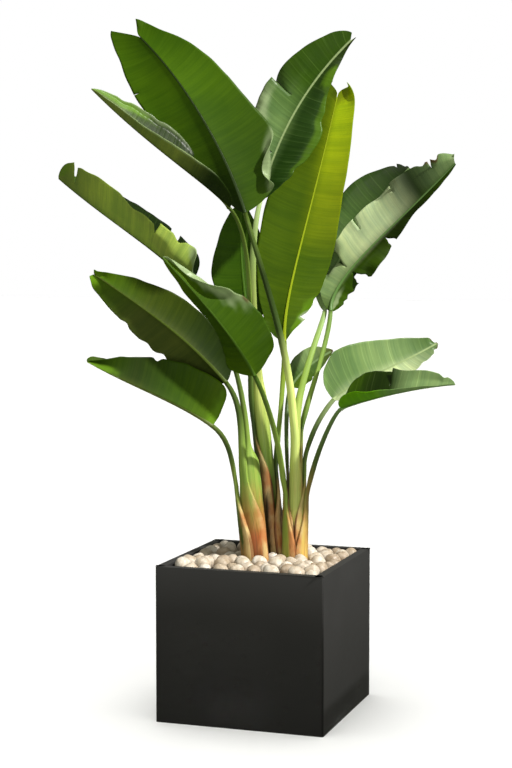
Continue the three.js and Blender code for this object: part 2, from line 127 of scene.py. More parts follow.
ARC_STEPS = 26
MARGIN_ANGLE = 10
SHEATH_STEPS = 26
SHEATH_FOOT = 345
TAPER_LENGTH = 160
PETIOLE_STEPS = 30
RIB_STEPS = 44
ROUNDING_LENGTH = 90
SHEATH_CLEARANCE = 2
PETIOLE_TOP = 6
PETIOLE_CHANNEL = 0.45
TWIST_START = 0.2
RIB_TIP = 1.3
RIB_TAPER = 0.4
RIB_SEATING = 0.35
RIB_STANDS_OUT = 0.25
RIB_SETTLED = 0.25
RIB_COLOUR_START = 0.3
RIB_COLOUR_BELOW_BLADE = 0.6
BESIDE_RIB = 0.1
# The midrib's facing is read between these places along the blade, off its narrow ends.
FACING_LIMITS = (0.05, 0.97)
# The dried margin of a sheath: powers by which it fades up the sheath and in from the edge.
DRIED_UPWARD = 0.3
DRIED_INWARD = 1.5

# The studio's places and sizes are in metres. The key light comes from high up, over the
# viewer's right shoulder.
KEY_TOWARDS = Vector((-0.80, 0.52, -1.05))
KEY_SPREAD = 3
KEY_POWER = 5.6
KEY_COLOUR = (1, 0.985, 0.94)
LOWER_FILL = 0.22
UPPER_FILL = 0.30
WORLD_TINT = (1, 1, 0.86)
WHITE = (1, 1, 1)
FLOOR_HALF_WIDTH = 40
FLOOR_SPREAD = 70
FLOOR_POWER = 3.3
FILL_PLACE = Vector((-0.4, -4.2, 0.9))
FILL_TARGET = Vector((0, 0, 1.1))
FILL_SIZE = 2.4
FILL_POWER = 60
FILL_COLOUR = (1, 1, 0.88)

CAMERA_TARGET = Vector((-0.028, 0, 0.863))
CAMERA_ELEVATION = math.radians(4.3)
CAMERA_DISTANCE = 4.49
CAMERA_LENS = 80
SENSOR_HEIGHT = 36

# Linear colours. A pair is the two ends of a mixture, and a tint multiplies a piece's own tone.
BLADE_TINTS = ((0.76, 0.82, 0.80), (1.22, 1.14, 1.05))
VEIN_TINT = (2.0, 1.9, 2.0)
VEIN_COLOUR = (0.42, 0.55, 0.22)
# Marks of painted sunlit glow, pale marks that are partly bleached margins and partly painted
# light, and brown dried marks, by the channel that holds how strong they are.
MARK_COLOURS = {"Red": (0.155, 0.32, 0.010), "Green": (0.40, 0.52, 0.26), "Blue": (0.12, 0.06, 0.022)}
STALK_TINTS = ((0.72, 0.80, 0.74), (1.18, 1.12, 1.10))
RUST = ((0.40, 0.10, 0.035), (0.56, 0.28, 0.09))
DRIED = ((0.48, 0.20, 0.07), (0.60, 0.44, 0.19))
TORN = (0.16, 0.050, 0.015)
PEBBLE_TINT = (0.76, 0.70, 0.62)
PEBBLE_SPECKS = (0.38, 0.27, 0.18)
CHARCOAL = ((0.0168, 0.0164, 0.0168), (0.0194, 0.0189, 0.0192))
CHARCOAL_GRAIN = (0.018, 0.0175, 0.0165)
EARTH = ((0.016, 0.010, 0.006), (0.075, 0.045, 0.026))
FLOOR_COLOUR = (0.86, 0.86, 0.86, 1)

# Tones of the stones, as 0xRRGGBB. The fillers' dark tones are painted shade in the gaps between
# the pebbles.
PEBBLE_TONES = (0xccc3b6, 0xc0b5a6, 0xd4cdc3, 0xb4a694, 0xc6bbad, 0xaa9b89)
SHADED_FILLER_TONES = (0x5e4c3c, 0x6b5847, 0x4c3d30)

# Tones of the blades, midribs and stalks, as 0xRRGGBB. Besides the plant's own colours they paint
# much of its light and shade: the near-black green 0x223608 and the shade tone are painted shade,
# and the dark brown 0x30280e is partly the clumps' dark foot and partly painted shade between them.
# The lit, glint, sun and blaze tones, the pale yellow 0xd8e888 and the whitish 0xd6e6b8 are painted
# light, and the pale, ivory and frost tones are partly pale leaf colour and partly painted light.
TONES = {
    "deep": 0x3f6406, "shade": 0x2c3f0a, "olive": 0x445608, "bloom": 0x5c6a2c, "leaf": 0x3c5c04,
    "fresh": 0x3e6002, "bright": 0x5a7c06, "lime": 0x6c8402, "sun": 0x8ea004, "cool": 0x284612,
    "sage": 0x56783a, "pale": 0x92b074, "lit": 0x7e9040, "grooved": 0x223608, "ivory": 0xa9bd84,
    "mead": 0x4a7004, "moss": 0x506e02, "grass": 0x74b404, "blaze": 0xb4cc0a, "frost": 0x7a9c5c,
    "glint": 0xa5bc55, "umber": 0x30280e, "russet": 0x98542c, "apricot": 0xecc068,
    "straw": 0xb8ac5c, "butter": 0xc0cc70, "cream": 0xd8e888, "milk": 0xd6e6b8, "stem": 0x88a448,
    "fern": 0x48602a,
}

# foot: where the clump's axis meets height 0; lean: sideways run for each mm of height;
# core: radius of the innermost stalk; ring: how much each stalk around it adds to the radius.
CLUMPS = {
    "left": {"foot": (22, 14), "lean": (-0.1, 0), "core": 26, "ring": 6},
    "middle": {"foot": (66, 92), "lean": (-0.1, 0), "core": 20, "ring": 5},
    "right": {"foot": (70, 40), "lean": (0.015, 0.01), "core": 11, "ring": 4},
}


def half(widths, near, edge, ends, tones, tip_power=1):
    """Half a blade: half widths from base to tip; its angle to the front plane beside the rib and
    at its edge, each at the base and at the tip; how far the edge runs on past the rib's two ends;
    and its tones from base to tip, which paint the half's light and shade as well as its colour.
    The tip is pointed with a tip_power of 1, blunter with less."""
    return {"widths": widths, "near": near, "edge": edge, "ends": ends, "tones": tones.split(),
            "tip_power": tip_power}


def stalk(facing, wrap, leaves, rise, turn, girth):
    """facing: direction in which it leaves its clump; wrap: how far its sheath reaches round;
    leaves: height where it parts from the clump; rise, turn: how far it keeps each direction;
    girth: its radius there."""
    return {"facing": facing, "wrap": wrap, "leaves": leaves, "rise": rise, "turn": turn,
            "girth": girth}


LEAVES = []


def add_leaf(name, stem_tones, **parts):
    """Adds a leaf, with no tear, curl, nick or mark but those given."""
    LEAVES.append({"name": name, "stem_tones": stem_tones.split(),
                   "tears": (), "curls": (), "nicks": (), "marks": (), **parts})


# Listed clump by clump, from the innermost stalk to the outermost. keel: 1 where the front shows
# the upper face, -1 where it shows the underside. wave: how far the margin ripples.
# stem_tones: the stalk's tones from its foot to the blade, with painted shade where it stands in
# shade and painted light where it is sunlit. rib: the midrib's control points.
# tears: (side, place along the blade, how far out it starts, gap, fold below it and above it).
# curls: (side, place along, reach along, where across it starts, extra angle at the margin).
# nicks: (side, place along, reach along, depth).
# marks: (kind, place along, place across, reach along, reach across, strength). A glow mark is a
# painted sunlit glow, a dark mark painted shade, a pale mark partly a bleached margin and partly
# painted light, and a brown mark a dried patch.
add_leaf(
    "middle_left", clump="left", keel=1, rib_tone="olive", wave=3,
    stalk=stalk(210, 90, 650, 100, 230, 11), stem_tones="umber russet stem stem fern fern",
    rib=[(-200, 0, 1125), (-276, 10, 1211), (-424, 50, 1294), (-550, 90, 1403)],
    left=half([0, 90, 92, 113, 122, 84, 8], (-120, -115), (-145, -135), (5, 0), "glint glint glint lit"),
    right=half([0, 85, 110, 112, 98, 60, 4], (50, 55), (40, 50), (5, 0), "cool sage sage leaf"),
    tears=[("right", 0.36, 0.3, 30, 0, 0), ("left", 0.40, 0.62, 6, -55, 12),
           ("left", 0.78, 0.35, 18, 0, -8)],
    curls=[("left", 0.22, 0.10, 0.35, -60), ("left", 0.10, 0.08, 0.5, 70)],
    nicks=[("left", 0.50, 0.03, 14), ("left", 0.30, 0.02, 16)],
    marks=[("pale", 0.12, -0.9, 0.10, 0.25, 0.9), ("glow", 0.92, -0.9, 0.10, 0.4, 0.5)],
)
add_leaf(
    "lower_left", clump="left", keel=-1, rib_tone="olive", wave=2,
    stalk=stalk(235, 100, 620, 90, 80, 12), stem_tones="umber russet stem stem fern fern",
    rib=[(-105, -30, 870), (-195, -40, 980), (-300, -70, 1055), (-435, -120, 1150)],
    left=half([0, 40, 70, 80, 60, 35, 10], (35, 25), (5, 10), (10, 10),
              "grooved bloom bloom mead", tip_power=0.4),
    right=half([0, 50, 80, 85, 60, 25, 10], (35, 25), (5, 10), (15, 10),
               "grooved shade olive mead", tip_power=0.4),
    curls=[("left", 0.93, 0.07, 0.1, -60), ("right", 0.92, 0.07, 0.2, -70)],
    nicks=[("left", 0.42, 0.015, 8), ("left", 0.50, 0.02, 7), ("left", 0.62, 0.015, 6)],
    marks=[("glow", 0.93, -0.6, 0.07, 0.5, 0.9), ("glow", 0.92, 0.6, 0.06, 0.5, 0.8)],
)
add_leaf(
    "bottom_left", clump="left", keel=-1, rib_tone="bloom", wave=2,
    stalk=stalk(185, 70, 590, 60, 60, 10), stem_tones="umber olive stem fern fern",
    rib=[(-140, -70, 760), (-230, -90, 825), (-345, -120, 865), (-455, -150, 931)],
    left=half([0, 55, 95, 104, 88, 52, 8], (100, 100), (120, 115), (20, 0), "bright leaf bloom leaf"),
    right=half([0, 100, 110, 95, 60, 20, 0], (25, 20), (0, 20), (35, 0), "bright leaf shade leaf"),
    curls=[("right", 0.86, 0.12, 0.25, -55), ("right", 0.06, 0.06, 0.5, 30)],
    nicks=[("right", 0.52, 0.012, 9), ("right", 0.10, 0.02, 6)],
    marks=[("glow", 0.08, 0.45, 0.10, 0.7, 0.95), ("glow", 0.84, 0.15, 0.14, 0.3, 0.8)],
)
# The middle clump's stalks start in the dark brown foot tone, deepened as painted shade between the other
# two clumps.
add_leaf(
    "top_centre", clump="middle", keel=1, rib_tone="ivory", wave=5,
    stalk=stalk(80, 90, 800, 160, 160, 14), stem_tones="umber umber stem butter butter stem stem",
    rib=[(-15, 40, 1345), (10, 80, 1440), (60, 110, 1610), (225, 120, 1770)],
    left=half([0, 40, 75, 108, 92, 54, 12], (-20, -15), (-10, 0), (10, 14), "cool frost frost deep deep"),
    right=half([0, 30, 75, 100, 50, 14, 4], (-30, -25), (-20, -30), (5, 15), "cool cool cool shade"),
    tears=[("left", 0.40, 0.10, 44, 10, 0), ("left", 0.60, 0.30, 3, 0, 50)],
    curls=[("right", 0.45, 0.10, 0.60, 20), ("right", 0.66, 0.08, 0.5, 20),
           ("right", 0.92, 0.10, 0.0, 50), ("left", 0.50, 0.07, 0.75, 50)],
    nicks=[("right", 0.56, 0.02, 9), ("right", 0.34, 0.02, 7), ("left", 0.30, 0.03, 12)],
    marks=[("pale", 0.47, -0.95, 0.10, 0.35, 1.0), ("glow", 0.50, 0.95, 0.18, 0.16, 0.5),
           ("dark", 0.82, -0.75, 0.20, 0.60, 0.25), ("glow", 0.72, 0.9, 0.05, 0.5, 0.6)],
)
add_leaf(
    "upper_left", clump="middle", keel=1, rib_tone="olive", wave=2,
    stalk=stalk(190, 110, 740, 200, 120, 10), stem_tones="umber umber fern stem fern",
    rib=[(-94, -130, 1322), (-160, -160, 1389), (-298, -190, 1474), (-435, -190, 1612)],
    left=half([0, 45, 76, 66, 42, 20, 0], (-105, -105), (-130, -130), (5, 0), "shade grooved lit lit lit"),
    right=half([0, 20, 40, 82, 66, 30, 0], (42, 38), (52, 45), (5, 0), "grooved grooved shade bright"),
    tears=[("right", 0.42, 0.20, 8, 40, 0)],
    curls=[("right", 0.68, 0.20, 0.80, -45), ("left", 0.30, 0.2, 0.8, -30)],
    nicks=[("right", 0.75, 0.02, 5), ("right", 0.60, 0.015, 5)],
    marks=[("pale", 0.70, 1.0, 0.25, 0.10, 0.4), ("glow", 0.82, 0.85, 0.18, 0.3, 0.9),
           ("pale", 0.62, -1.0, 0.25, 0.07, 0.7)],
)
add_leaf(
    "tall_centre", clump="middle", keel=-1, rib_tone="sun", wave=2,
    stalk=stalk(25, 100, 620, 50, 80, 10), stem_tones="umber umber fern stem stem",
    rib=[(50, 110, 970), (45, 125, 1085), (105, 160, 1245), (192, 190, 1625)],
    left=half([0, 40, 80, 115, 115, 80, 34], (15, 10), (-5, -10), (5, 35),
              "leaf moss moss lime", tip_power=0.35),
    right=half([0, 20, 70, 93, 79, 58, 36], (30, 20), (0, -10), (5, 40),
               "leaf moss moss sun blaze", tip_power=0.35),
    tears=[("right", 0.28, 0.70, 16, 15, 0)],
    curls=[("right", 1.0, 0.07, 0.55, -120), ("left", 1.0, 0.05, 0.6, -100),
           ("right", 0.20, 0.10, 0.7, -30)],
    nicks=[("right", 0.36, 0.015, 5)],
    marks=[("pale", 0.285, 0.95, 0.02, 0.25, 0.9), ("dark", 0.95, 0.25, 0.05, 0.5, 0.45),
           ("glow", 0.27, 0.9, 0.10, 0.3, 0.8)],
)
add_leaf(
    "centre_rear", clump="middle", keel=-1, rib_tone="deep", wave=2,
    stalk=stalk(110, 100, 640, 120, 120, 10), stem_tones="umber umber fern fern",
    rib=[(-45, 120, 1010), (-55, 140, 1080), (-75, 175, 1205), (-65, 200, 1340)],
    left=half([0, 35, 65, 85, 60, 30, 0], (10, 10), (0, 0), (5, 0), "deep deep deep deep"),
    right=half([0, 35, 55, 65, 55, 25, 0], (10, 10), (0, 0), (5, 0), "deep deep deep deep"),
)
add_leaf(
    "upper_right_rear", clump="right", keel=1, rib_tone="pale", wave=3,
    stalk=stalk(90, 90, 760, 100, 30, 10), stem_tones="apricot apricot butter stem stem stem",
    rib=[(160, 165, 1050), (165, 230, 1150), (230, 260, 1260), (395, 250, 1440)],
    left=half([0, 20, 50, 75, 95, 50, 0], (20, 15), (10, 0), (5, 0), "pale pale sage grooved"),
    right=half([0, 20, 50, 65, 60, 35, 0], (-10, -10), (-5, 0), (5, 0), "cool cool cool cool"),
    tears=[("left", 0.88, 0.75, 8, 0, 0)],
    curls=[("left", 0.55, 0.2, 0.8, 25)], nicks=[("left", 0.93, 0.015, 6)],
)
add_leaf(
    "upper_right", clump="right", keel=-1, rib_tone="sage", wave=6,
    stalk=stalk(30, 110, 730, 60, 90, 10), stem_tones="apricot butter butter fern stem stem stem",
    rib=[(175, 150, 1050), (180, 190, 1150), (335, 180, 1260), (505, 120, 1445)],
    left=half([0, 25, 70, 90, 90, 58, 22], (25, 15), (0, 0), (5, 12),
              "leaf pale ivory milk milk grooved pale"),
    right=half([0, 35, 60, 54, 26, 12, 3], (45, 35), (30, 30), (5, 0), "leaf leaf shade leaf"),
    tears=[("right", 0.40, 0.12, 34, 20, -25), ("left", 0.40, 0.15, 24, 45, -20),
           ("right", 0.56, 0.25, 20, 0, 15), ("left", 0.52, 0.6, 5, -20, 20),
           ("left", 0.66, 0.7, 5, 30, 0), ("left", 0.82, 0.6, 10, 20, -25)],
    curls=[("left", 0.36, 0.04, 0.45, 100), ("left", 0.95, 0.05, 0.4, 70),
           ("right", 0.48, 0.06, 0.2, -40), ("left", 0.60, 0.06, 0.6, 30)],
    nicks=[("left", 0.84, 0.015, 12), ("left", 0.79, 0.012, 8), ("right", 0.30, 0.02, 8),
           ("right", 0.24, 0.02, 6)],
    marks=[("pale", 0.37, -0.8, 0.035, 0.4, 0.9), ("pale", 0.97, -0.6, 0.04, 0.5, 0.7),
           ("brown", 0.83, -1.0, 0.03, 0.15, 0.8), ("pale", 0.18, 0.35, 0.12, 0.2, 0.7)],
)
add_leaf(
    "top_left", clump="right", keel=-1, rib_tone="grooved", wave=2,
    stalk=stalk(245, 110, 700, 200, 260, 12),
    # The stalk's pale yellow stretch is painted sunlight and its dark stretch below the blade painted
    # shade.
    stem_tones="apricot apricot butter butter cream cream fern shade stem",
    rib=[(-55, -50, 1310), (-95, -55, 1445), (-200, -20, 1640), (-330, 60, 1770)],
    left=half([0, 30, 80, 110, 118, 78, 42], (30, 20), (0, 0), (10, 75),
              "grooved leaf mead mead", tip_power=0.8),
    right=half([0, 95, 146, 125, 98, 48, 28], (20, 10), (5, -5), (5, 40),
               "leaf leaf mead mead", tip_power=0.45),
    tears=[("left", 0.68, 0.85, 2, 0, 0)],
    curls=[("right", 0.26, 0.06, 0.74, -172), ("right", 0.97, 0.04, 0.2, -40)],
    nicks=[("right", 0.20, 0.015, 5), ("right", 0.34, 0.015, 5)],
    marks=[("pale", 0.27, 0.95, 0.10, 0.22, 0.9)],
)
add_leaf(
    "small_rear", clump="right", keel=1, rib_tone="pale", wave=3,
    stalk=stalk(165, 110, 600, 60, 50, 7), stem_tones="umber umber fern fern",
    rib=[(70, 190, 840), (85, 195, 870), (115, 200, 905), (185, 215, 940)],
    left=half([0, 15, 35, 45, 40, 15, 0], (-15, -10), (0, 0), (5, 0), "sage sage pale bloom"),
    right=half([0, 20, 30, 35, 25, 10, 0], (-15, -10), (0, 0), (5, 0), "bright bright sage bloom"),
    curls=[("left", 0.2, 0.12, 0.6, 60)], nicks=[("right", 0.5, 0.03, 6)],
    marks=[("brown", 1.0, 0.0, 0.10, 0.9, 1.0)],
)
add_leaf(
    "middle_right", clump="right", keel=1, rib_tone="ivory", wave=3,
    stalk=stalk(20, 110, 640, 60, 60, 9), stem_tones="butter stem fern fern",
    rib=[(180, 40, 820), (220, 40, 865), (330, 70, 895), (462, 120, 965)],
    left=half([0, 60, 102, 92, 62, 30, 12], (15, 10), (0, 0), (15, 0), "frost frost pale sage"),
    right=half([0, 30, 50, 50, 50, 25, 0], (-50, -50), (-55, -50), (5, 0), "milk milk milk sage"),
    curls=[("left", 0.97, 0.06, 0.0, 110), ("right", 0.90, 0.05, 0.4, 60),
           ("left", 0.12, 0.08, 0.6, -25)],
    nicks=[("right", 0.86, 0.02, 8), ("right", 0.72, 0.02, 5)],
    marks=[("brown", 1.0, -0.2, 0.05, 0.7, 1.0), ("brown", 0.93, 1.0, 0.05, 0.3, 0.8),
           ("brown", 0.92, -1.0, 0.04, 0.3, 0.9)],
)
add_leaf(
    "bottom_right", clump="right", keel=1, rib_tone="frost", wave=4,
    stalk=stalk(335, 75, 545, 80, 30, 10), stem_tones="apricot straw fern fern",
    rib=[(195, -60, 805), (245, -90, 825), (365, -140, 865), (475, -180, 875)],
    left=half([0, 75, 95, 80, 55, 25, 0], (45, 50), (50, 60), (0, 0),
              "leaf leaf grooved grooved pale pale pale"),
    right=half([0, 45, 70, 36, 10, 5, 0], (-110, -115), (-135, -130), (5, 0),
               "grass grass grass pale pale pale"),
    tears=[("left", 0.50, 0.35, 4, 0, -25)],
    curls=[("left", 0.75, 0.12, 0.4, -35)], nicks=[("left", 0.80, 0.02, 6)],
    marks=[("brown", 1.0, 0.0, 0.03, 0.9, 0.7)],
)
add_leaf(
    "front_left", clump="right", keel=-1, rib_tone="leaf", wave=3,
    stalk=stalk(200, 70, 560, 70, 120, 11), stem_tones="straw stem stem stem fern",
    rib=[(-30, -120, 895), (-70, -140, 975), (-130, -170, 1055), (-260, -200, 1195)],
    left=half([0, 90, 70, 40, 36, 15, 0], (60, 55), (50, 50), (20, 0), "bright leaf leaf bright"),
    right=half([0, 70, 95, 94, 62, 30, 0], (15, 35), (0, 20), (10, 0), "leaf fresh fresh bright"),
    curls=[("right", 0.77, 0.14, 0.54, -172), ("right", 0.10, 0.08, 0.6, 60)],
    nicks=[("right", 0.55, 0.02, 6), ("left", 0.12, 0.02, 6)],
    marks=[("pale", 0.78, 0.95, 0.26, 0.50, 1.0), ("brown", 0.50, 1.0, 0.02, 0.08, 0.7),
           ("pale", 0.10, 1.0, 0.06, 0.12, 0.7)],
)


# ---------- numbers and curves ----------
def lerp(a, b, t):
    return a + (b - a) * t


def smooth(x, low, high):
    """0 below low, 1 above high and an even S between them."""
    t = min(max((x - low) / (high - low), 0), 1)
    return t * t * (3 - 2 * t)


def hill(x, middle, reach):
    """1 at the middle, falling evenly to 0 at twice the reach to either side."""
    return 1 - smooth(abs(x - middle), 0, 2 * reach)


def spline(values, t):
    """The Catmull-Rom curve through evenly spaced values, at t from 0 to 1."""
    last = len(values) - 1
    place = min(max(t, 0), 1) * last
    i = min(int(place), last - 1)
    f = place - i
    p0, p1 = values[max(i - 1, 0)], values[i]
    p2, p3 = values[i + 1], values[min(i + 2, last)]
    a, b = (p2 - p0) / 2, (p3 - p1) / 2
    return (2 * p1 - 2 * p2 + a + b) * f ** 3 + (3 * p2 - 3 * p1 - 2 * a - b) * f * f + a * f + p1


def bezier(points, t):
    a, b, c, d = points
    u = 1 - t
    return a * u ** 3 + b * (3 * t * u * u) + c * (3 * t * t * u) + d * t ** 3


def bezier_growth(points, t):
    a, b, c, d = points
    u = 1 - t
    return ((b - a) * (u * u) + (c - b) * (2 * t * u) + (d - c) * (t * t)).normalized()


def bezier_length(points, steps=40):
    places = [bezier(points, i / steps) for i in range(steps + 1)]
    return sum((b - a).length for a, b in zip(places, places[1:]))


def up_rib(along):
    """Where on the midrib a row of the blade starts: the rows lie closer towards both ends."""
    return (1 - math.cos(math.pi * along)) / 2


def direction(degrees):
    angle = math.radians(degrees)
    return Vector((math.cos(angle), math.sin(angle), 0))


def square_to(axis, vector):
    """The vector's part that is square to the axis, at length 1."""
    return (vector - axis * vector.dot(axis)).normalized()


def waver(*place):
    """Smooth noise between -1 and 1."""
    return noise.noise(Vector(place))


def linear(tone):
    """A tone written as 0xRRGGBB, as the renderer's linear colour."""
    parts = [(tone >> shift & 255) / 255 for shift in (16, 8, 0)]
    return tuple(p / 12.92 if p <= 0.04045 else ((p + 0.055) / 1.055) ** 2.4 for p in parts)


def blended_tone(tones, t):
    place = min(max(t, 0), 1) * (len(tones) - 1)
    i = min(int(place), len(tones) - 2)
    a, b = linear(TONES[tones[i]]), linear(TONES[tones[i + 1]])
    return Vector([lerp(x, y, place - i) for x, y in zip(a, b)])


# ---------- pieces ----------
TURN_PLANT = Matrix.Rotation(PLANT_TURN, 4, "Z")
TO_METRES = Matrix.Scale(MM, 4)


def new_object(name, mesh, materials):
    data = bpy.data.meshes.new(name)
    mesh.to_mesh(data)
    mesh.free()
    for material in materials:
        data.materials.append(material)
    made = bpy.data.objects.new(name, data)
    bpy.context.scene.collection.objects.link(made)
    return made


def finished_piece(name, mesh, materials, replaced, in_plant=False):
    """Makes the mesh an object that rides on the plant's one body and stands for CAD nodes."""
    placing = TURN_PLANT @ TO_METRES if in_plant else TO_METRES
    bmesh.ops.transform(mesh, matrix=placing, verts=mesh.verts)
    piece = new_object(name, mesh, materials)
    for polygon in piece.data.polygons:
        polygon.use_smooth = True
    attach(piece, "root")
    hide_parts(*replaced)
    return piece


# ---------- material nodes ----------
def fill_inputs(tree, made, inputs):
    """Gives each input of the node a value, or links it to another node's socket."""
    for key, value in inputs.items():
        if isinstance(value, bpy.types.NodeSocket):
            tree.links.new(value, made.inputs[key])
        else:
            made.inputs[key].default_value = value


def node(tree, kind, inputs=None, **settings):
    made = tree.nodes.new("ShaderNode" + kind)
    for key, value in settings.items():
        setattr(made, key, value)
    fill_inputs(tree, made, inputs or {})
    return made


def maths(tree, operation, a, b=0.0):
    return node(tree, "Math", {0: a, 1: b}, operation=operation).outputs[0]


def plus(tree, a, b):
    return maths(tree, "ADD", a, b)


def times(tree, a, b):
    return maths(tree, "MULTIPLY", a, b)


def ramp(tree, value, low, high, start=0.0, end=1.0):
    """value, moved smoothly from start at low to end at high."""
    made = node(tree, "MapRange", {
        "Value": value, "From Min": low, "From Max": high, "To Min": start, "To Max": end,
    }, interpolation_type="SMOOTHSTEP")
    return made.outputs["Result"]


def mixed(tree, factor, a, b, blend="MIX"):
    def colour(value):
        return value if isinstance(value, bpy.types.NodeSocket) else (*value, 1)
    made = node(tree, "Mix", {0: factor, 6: colour(a), 7: colour(b)},
                data_type="RGBA", blend_type=blend)
    return made.outputs[2]


def tinted(tree, colour, tint):
    return mixed(tree, 1.0, colour, tint, "MULTIPLY")


def noise_at(tree, place, scale, detail=3.0, roughness=0.5):
    """Noise at the place. A scale of three numbers stretches it."""
    if isinstance(scale, tuple):
        place = node(tree, "Mapping", {"Vector": place, "Scale": scale}).outputs["Vector"]
        scale = 1.0
    made = node(tree, "TexNoise", {
        "Vector": place, "Scale": scale, "Detail": detail, "Roughness": roughness,
    })
    return made.outputs["Fac"]


def height_of(tree, place):
    return node(tree, "SeparateXYZ", {"Vector": place}).outputs["Z"]


def object_place(tree):
    return node(tree, "TexCoord").outputs["Object"]


def own_place(tree, name):
    return node(tree, "UVMap", uv_map=name).outputs["UV"]


def attribute(tree, name):
    return node(tree, "Attribute", attribute_name=name).outputs["Color"]


def channels(tree, name):
    return node(tree, "SeparateColor", {"Color": attribute(tree, name)}).outputs


def bump(tree, height, strength, distance):
    made = node(tree, "Bump", {"Height": height, "Strength": strength, "Distance": distance})
    return made.outputs["Normal"]


def new_material(name):
    material = bpy.data.materials.new(name)
    material.use_nodes = True
    return material, material.node_tree


def paint(tree, colour, roughness, normal, gloss=0.5):
    """Fills the material's shader and returns what it gives out."""
    shader = tree.nodes["Principled BSDF"]
    fill_inputs(tree, shader, {"Base Color": colour, "Roughness": roughness, "Normal": normal,
                               "Specular IOR Level": gloss})
    return shader.outputs["BSDF"]


def blade_material(name, roughness, gloss, corrugation, vein_strength):
    """A leaf face: its tone with fine streaks along the side veins, paler veins, marks, gloss."""
    material, tree = new_material(name)
    place = own_place(tree, "veins")
    split = node(tree, "SeparateXYZ", {"Vector": place}).outputs
    streaks = noise_at(tree, place, (7, 480, 1), 3.0, 0.55)
    bands = noise_at(tree, place, (4, 70, 1), 2.0, 0.55)
    wobble = noise_at(tree, place, (3, 26, 1), 2.0, 0.55)
    phase = plus(tree, times(tree, split["Y"], 2 * math.pi / VEIN_PITCH), times(tree, wobble, 16.0))
    wave = maths(tree, "SINE", phase)
    veins = times(tree, ramp(tree, wave, 0.80, 1.0), ramp(tree, bands, 0.40, 0.68))
    blotches = noise_at(tree, object_place(tree), 9.0)

    tone = attribute(tree, "tone")
    dark, bright = [tinted(tree, tone, tint) for tint in BLADE_TINTS]
    shade = plus(tree, times(tree, streaks, 0.30),
                 plus(tree, times(tree, bands, 0.30), times(tree, blotches, 0.40)))
    colour = mixed(tree, ramp(tree, shade, 0.36, 0.66), dark, bright)
    pale_vein = mixed(tree, 0.16, tinted(tree, tone, VEIN_TINT), VEIN_COLOUR)
    colour = mixed(tree, times(tree, veins, vein_strength), colour, pale_vein)
    by_rib = ramp(tree, maths(tree, "ABSOLUTE", split["X"]), 0.0016, 0.0036, 1.0, 0.0)
    colour = mixed(tree, by_rib, colour, attribute(tree, "rib_tone"))
    marks = channels(tree, "marks")
    # Glow marks are painted sunlit glow, and pale ones are partly bleached edges and partly painted light.
    for channel, mark_colour in MARK_COLOURS.items():
        colour = mixed(tree, marks[channel], colour, mark_colour)

    height = plus(tree, times(tree, wave, 0.5 * corrugation), times(tree, streaks, 0.08))
    normal = bump(tree, height, 0.35, 0.0012)
    unevenly_rough = ramp(tree, streaks, 0.3, 0.7, roughness - 0.04, roughness + 0.08)
    front = paint(tree, colour, unevenly_rough, normal, gloss)
    behind = node(tree, "BsdfTranslucent", {"Color": colour, "Normal": normal}).outputs["BSDF"]
    both = node(tree, "MixShader", {0: LIGHT_THROUGH, 1: front, 2: behind}).outputs["Shader"]
    tree.links.new(both, tree.nodes["Material Output"].inputs["Surface"])
    return material


def stalk_material():
    """Stalks in their own tones, with warm papery margins low down, and each leaf's midrib."""
    material, tree = new_material("stalk")
    place = object_place(tree)
    height = height_of(tree, place)
    fibre = noise_at(tree, own_place(tree, "fibres"), (60, 5, 1), 3.0, 0.6)
    blotches = noise_at(tree, place, 14.0)
    flecks = noise_at(tree, place, (150, 150, 25), 3.0, 0.6)
    patches = noise_at(tree, place, (34, 34, 7))
    marks = channels(tree, "marks")
    margin, rib = marks["Red"], marks["Green"]

    tone = attribute(tree, "tone")
    dark, bright = [tinted(tree, tone, tint) for tint in STALK_TINTS]
    green = mixed(tree, ramp(tree, fibre, 0.3, 0.7), dark, bright)
    aged = times(tree, ramp(tree, height, 0.70, 0.44), ramp(tree, patches, 0.44, 0.58))
    rust = mixed(tree, ramp(tree, blotches, 0.42, 0.60), *RUST)
    green = mixed(tree, times(tree, aged, 0.50), green, rust)
    dried = mixed(tree, ramp(tree, blotches, 0.38, 0.60), *DRIED)
    flecked = times(tree, maths(tree, "SUBTRACT", flecks, 0.5), 0.7)
    blush = ramp(tree, plus(tree, margin, flecked), 0.30, 0.80)
    blush = times(tree, blush, ramp(tree, height, 0.40, 0.72, 1.0, 0.40))
    colour = mixed(tree, blush, green, dried)
    cracks = times(tree, ramp(tree, flecks, 0.66, 0.72), ramp(tree, height, 0.75, 0.45))
    torn = maths(tree, "MAXIMUM", ramp(tree, margin, 0.92, 0.99), times(tree, cracks, 0.8))
    colour = mixed(tree, times(tree, torn, 0.8), colour, TORN)
    colour = mixed(tree, rib, colour, attribute(tree, "rib_tone"))
    paint(tree, colour, 0.45, bump(tree, fibre, 0.20, 0.0005), 0.25)
    return material


def pebble_material():
    """Cream river pebbles, each its own tint, with fine specks and faint banding."""
    material, tree = new_material("pebble")
    place = object_place(tree)
    tone = attribute(tree, "tone")
    specks = noise_at(tree, place, 420.0, 3.0, 0.65)
    clouds = noise_at(tree, place, 60.0, 4.0, 0.6)
    colour = mixed(tree, ramp(tree, clouds, 0.35, 0.65), tinted(tree, tone, PEBBLE_TINT), tone)
    colour = mixed(tree, ramp(tree, specks, 0.62, 0.72), colour, PEBBLE_SPECKS)
    relief = bump(tree, plus(tree, specks, clouds), 0.18, 0.0008)
    paint(tree, colour, ramp(tree, clouds, 0.3, 0.7, 0.42, 0.60), relief)
    return material


